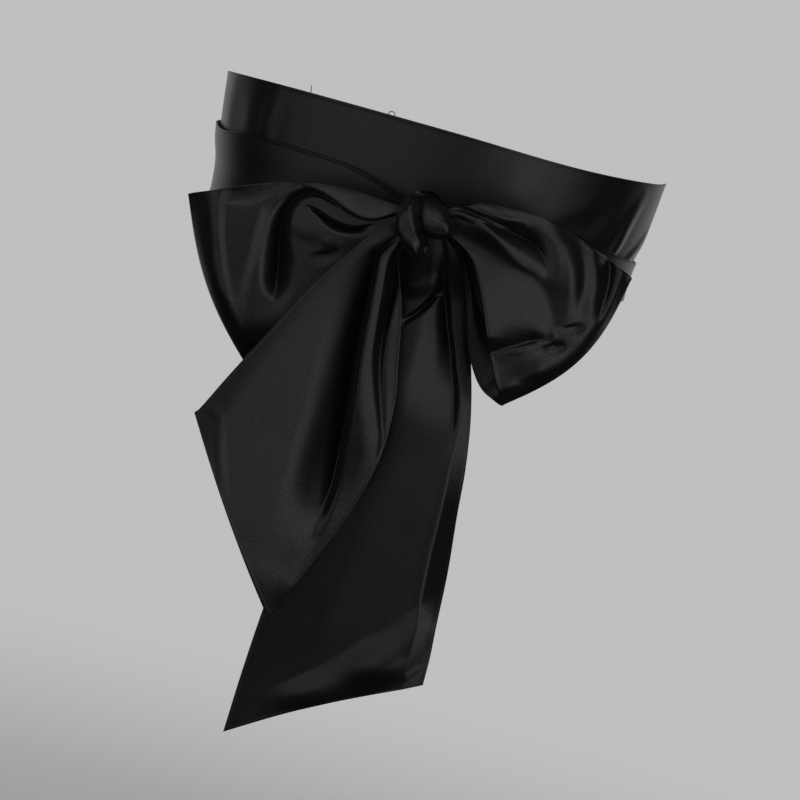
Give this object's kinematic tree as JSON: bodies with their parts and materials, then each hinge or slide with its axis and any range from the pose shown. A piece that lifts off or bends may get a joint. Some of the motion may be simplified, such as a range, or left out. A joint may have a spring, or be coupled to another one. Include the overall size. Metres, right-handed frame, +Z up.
{
  "type": "satin sash tied in a bow",
  "caption": "Black satin waist sash, wound double round the waist, crossed at the back and tied in a large bow at the front with long slanted ends.",
  "frame": {"origin": "centre of the waist hollow, at mid-height of the wound ribbon", "axes": "+Z up along the body, -Y towards the front where the bow is, +X to the wearer's left"},
  "size_m": [0.2543, 0.226, 0.3523],
  "materials": {
    "satin": "black satin, soft sheen"
  },
  "bodies": {
    "root": {"band_front": "satin", "back_over": "satin", "back_under": "satin", "wrap_left": "satin", "wrap_right": "satin", "loop_left": "satin", "loop_right": "satin", "tail_front": "satin", "tail_back": "satin", "knot": "satin"}
  },
  "joints": []
}
